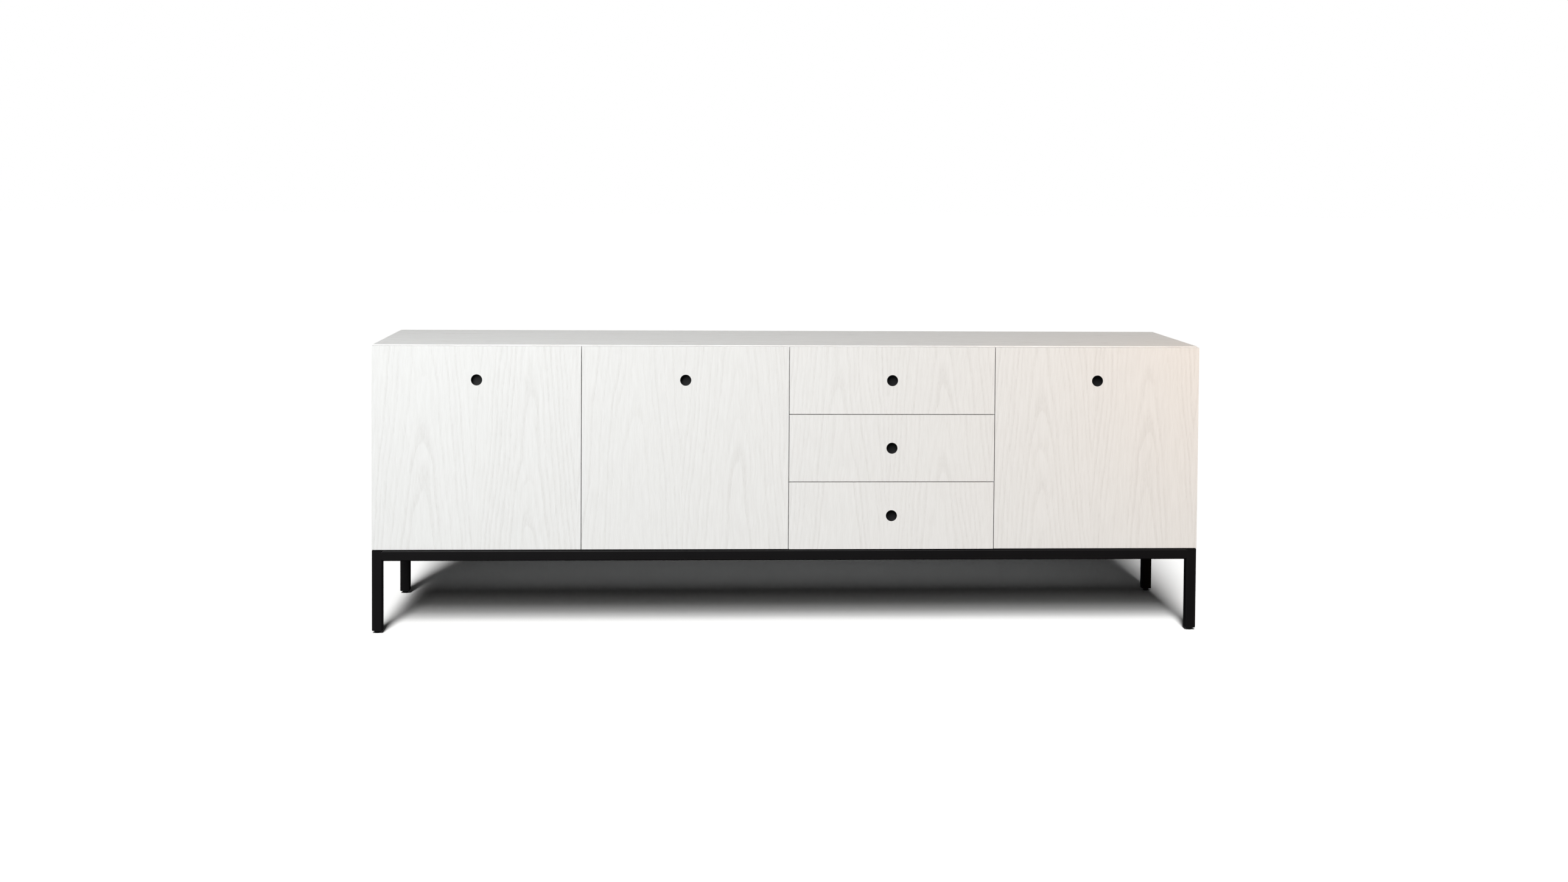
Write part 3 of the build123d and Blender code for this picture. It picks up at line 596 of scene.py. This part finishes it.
def make_camera():
    """The viewpoint, in front of the cabinet and a little above its top."""
    data = bpy.data.cameras.new("camera")
    data.lens = LENS
    data.sensor_width = 36.0
    data.shift_y = RISE
    camera = bpy.data.objects.new("camera", data)
    heading = Vector((sin(CAMERA_YAW), cos(CAMERA_YAW), 0.0))
    ahead = heading * cos(CAMERA_PITCH) + Vector((0.0, 0.0, sin(CAMERA_PITCH)))
    level = Vector((cos(CAMERA_YAW), -sin(CAMERA_YAW), 0.0))
    upward = level.cross(ahead)
    right = level * cos(CAMERA_ROLL) + upward * sin(CAMERA_ROLL)
    over = upward * cos(CAMERA_ROLL) - level * sin(CAMERA_ROLL)
    turn = Matrix((right, over, -ahead)).transposed().to_4x4()
    place = Matrix.Translation((CAMERA_X, cad_low.y - CAMERA_FROM_FRONT, CAMERA_HEIGHT))
    camera.matrix_world = place @ turn
    bpy.context.scene.collection.objects.link(camera)
    bpy.context.scene.camera = camera


def aim(place, target):
    """A light's matrix: it stands at place and shines towards target."""
    back = (Vector(place) - Vector(target)).normalized()
    return Matrix.Translation(place) @ back.to_track_quat("Z", "Y").to_matrix().to_4x4()


def add_light(name, kind, place, target, energy, colour, **settings):
    """A lamp that the camera doesn't see."""
    data = bpy.data.lights.new(name, kind)
    data.energy = energy
    data.color = colour
    for key, value in settings.items():
        setattr(data, key, value)
    lamp = bpy.data.objects.new(name, data)
    lamp.matrix_world = aim(place, target)
    lamp.visible_camera = False
    bpy.context.scene.collection.objects.link(lamp)
    return lamp


def make_world():
    """White studio backdrop for the eye, with only a little light of its own."""
    world = bpy.data.worlds.new("studio")
    bpy.context.scene.world = world
    t = Tree(world)
    seen = t.add("ShaderNodeLightPath").outputs["Is Camera Ray"]
    strength = t.ramp(seen, 0.0, 1.0, 0.005, 1.0, smooth=False)
    sky = t.add("ShaderNodeBackground", {"Color": rgb(1.0, 1.0, 1.0), "Strength": strength})
    t.add("ShaderNodeOutputWorld", {"Surface": sky.outputs[0]})


def make_floor():
    """Pale seamless floor that the camera sees as white where the light reaches it."""
    mesh = bpy.data.meshes.new("studio_floor")
    bm = bmesh.new()
    bmesh.ops.create_grid(bm, x_segments=1, y_segments=1, size=60.0)
    bm.to_mesh(mesh)
    bm.free()
    floor = bpy.data.objects.new("studio_floor", mesh)
    bpy.context.scene.collection.objects.link(floor)
    made, t = material("studio_white")
    place, _ = t.position()
    seen = t.add("ShaderNodeLightPath").outputs["Is Camera Ray"]
    grain = t.noise(place, 3.0, 2.0)
    direct = t.mix(grain, rgb(2.03, 2.03, 2.03), rgb(2.09, 2.09, 2.09))
    colour = t.mix(seen, rgb(0.10, 0.10, 0.10), direct)
    shader = t.add("ShaderNodeBsdfDiffuse", {"Color": colour})
    t.add("ShaderNodeOutputMaterial", {"Surface": shader.outputs[0]})
    mesh.materials.append(made)
    floor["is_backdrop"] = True


KEY_STRIP = ((26, 0.08), (34, 0.24), (43, 0.35), (52, 0.33))    # a tall light: elevations and shares
KEY_SIDE = -0.11             # how far to the left it stands, for each metre in front
KEY_FLOOR = 1.56             # light that it gives to level surfaces


def light_only(lamp, name, pieces):
    """Let a lamp reach these pieces and not the floor."""
    group = bpy.data.collections.new(name)
    for piece in pieces:
        group.objects.link(piece)
    lamp.light_linking.receiver_collection = group


def make_lights():
    """A key light that also draws the shadow on the floor, and fills that reach the sideboard only."""
    middle = (cad_low + cad_high) / 2
    everything = list(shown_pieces())
    for height, share in KEY_STRIP:
        toward = Vector((KEY_SIDE, -1.0, tan(radians(height))))
        energy = share * KEY_FLOOR / sin(radians(height))
        add_light(f"key_{height}", "SUN", middle + 5 * toward, middle, energy, (1.0, 0.998, 0.990),
                  angle=radians(13))
    left = add_light("left_softbox", "AREA", (-1.25, -2.5, 1.7), (-0.4, -0.24, 0.4), 33.0, (0.96, 0.99, 1.0),
                     shape="RECTANGLE", size=1.4, size_y=1.4)
    right = add_light("right_warm", "AREA", (1.7, -1.0, 1.25), (1.0, -0.24, 0.6), 5.5, (1.0, 0.50, 0.15),
                      shape="RECTANGLE", size=0.5, size_y=0.5)
    sides = [add_light(f"{name}_side_fill", "SUN", (x, -0.3, 1.0), middle, 1.3, (0.97, 0.99, 1.0),
                       angle=radians(50)) for name, x in (("left", -5.0), ("right", 5.0))]
    rear = add_light("rear_fill", "SUN", (1.0, 4.0, 0.8), middle, 0.65, (0.96, 0.98, 1.0), angle=radians(50))
    above = add_light("top_softbox", "AREA", (-1.0, -0.5, 2.3), (-0.7, 0.0, 0.7), 5.0, (1.0, 1.0, 1.0),
                      shape="RECTANGLE", size=0.9, size_y=0.9)
    for lamp in (left, right, above, rear, *sides):
        light_only(lamp, "lit_by_" + lamp.name, everything)
        lamp.visible_glossy = lamp is left


def settle_colours():
    view = bpy.context.scene.view_settings
    view.view_transform = "Standard"
    view.look = "None"


make_camera()
make_world()
black_coat = powder_coat()
zinc_steel = zinc()
finish_nodes(black_coat, zinc_steel)
build_small_pieces(black_coat, zinc_steel)
make_floor()
make_lights()
settle_colours()
